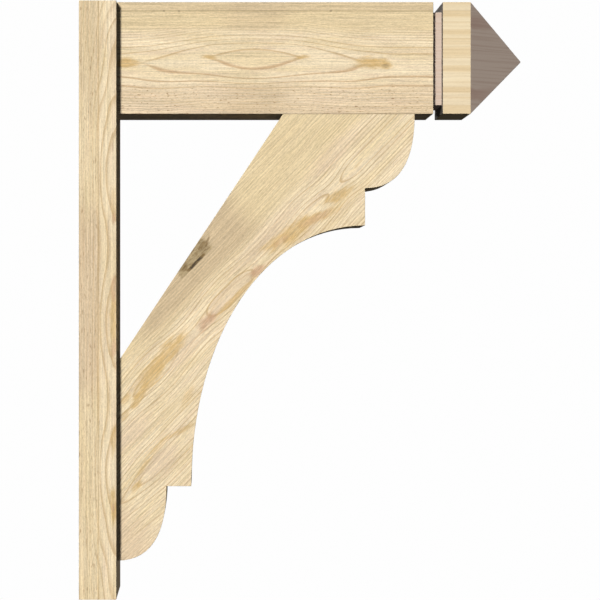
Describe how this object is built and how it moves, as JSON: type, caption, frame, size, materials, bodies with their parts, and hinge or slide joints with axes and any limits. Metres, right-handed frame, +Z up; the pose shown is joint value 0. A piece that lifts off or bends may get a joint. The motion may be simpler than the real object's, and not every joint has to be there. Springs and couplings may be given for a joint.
{
  "type": "outlooker",
  "caption": "Timber eave outlooker: a wall plate, a level beam with a grooved, pointed end, and a curved knee brace.",
  "frame": {"origin": "middle of the wall plate's rear face, where the outlooker is fixed to the wall", "axes": "+X out from the wall along the beam, +Z up, +Y across the width"},
  "size_m": [0.6096, 0.1524, 0.8128],
  "materials": {
    "wall_plate_wood": "bare planed softwood, vertical grain, dry",
    "beam_wood": "bare planed softwood, level grain, with bare end grain on the carved end",
    "brace_wood": "bare planed softwood, grain along the brace's slope, knots"
  },
  "bodies": {
    "root": {"wall_plate": "wall_plate_wood", "beam": "beam_wood", "brace": "brace_wood"}
  },
  "joints": []
}
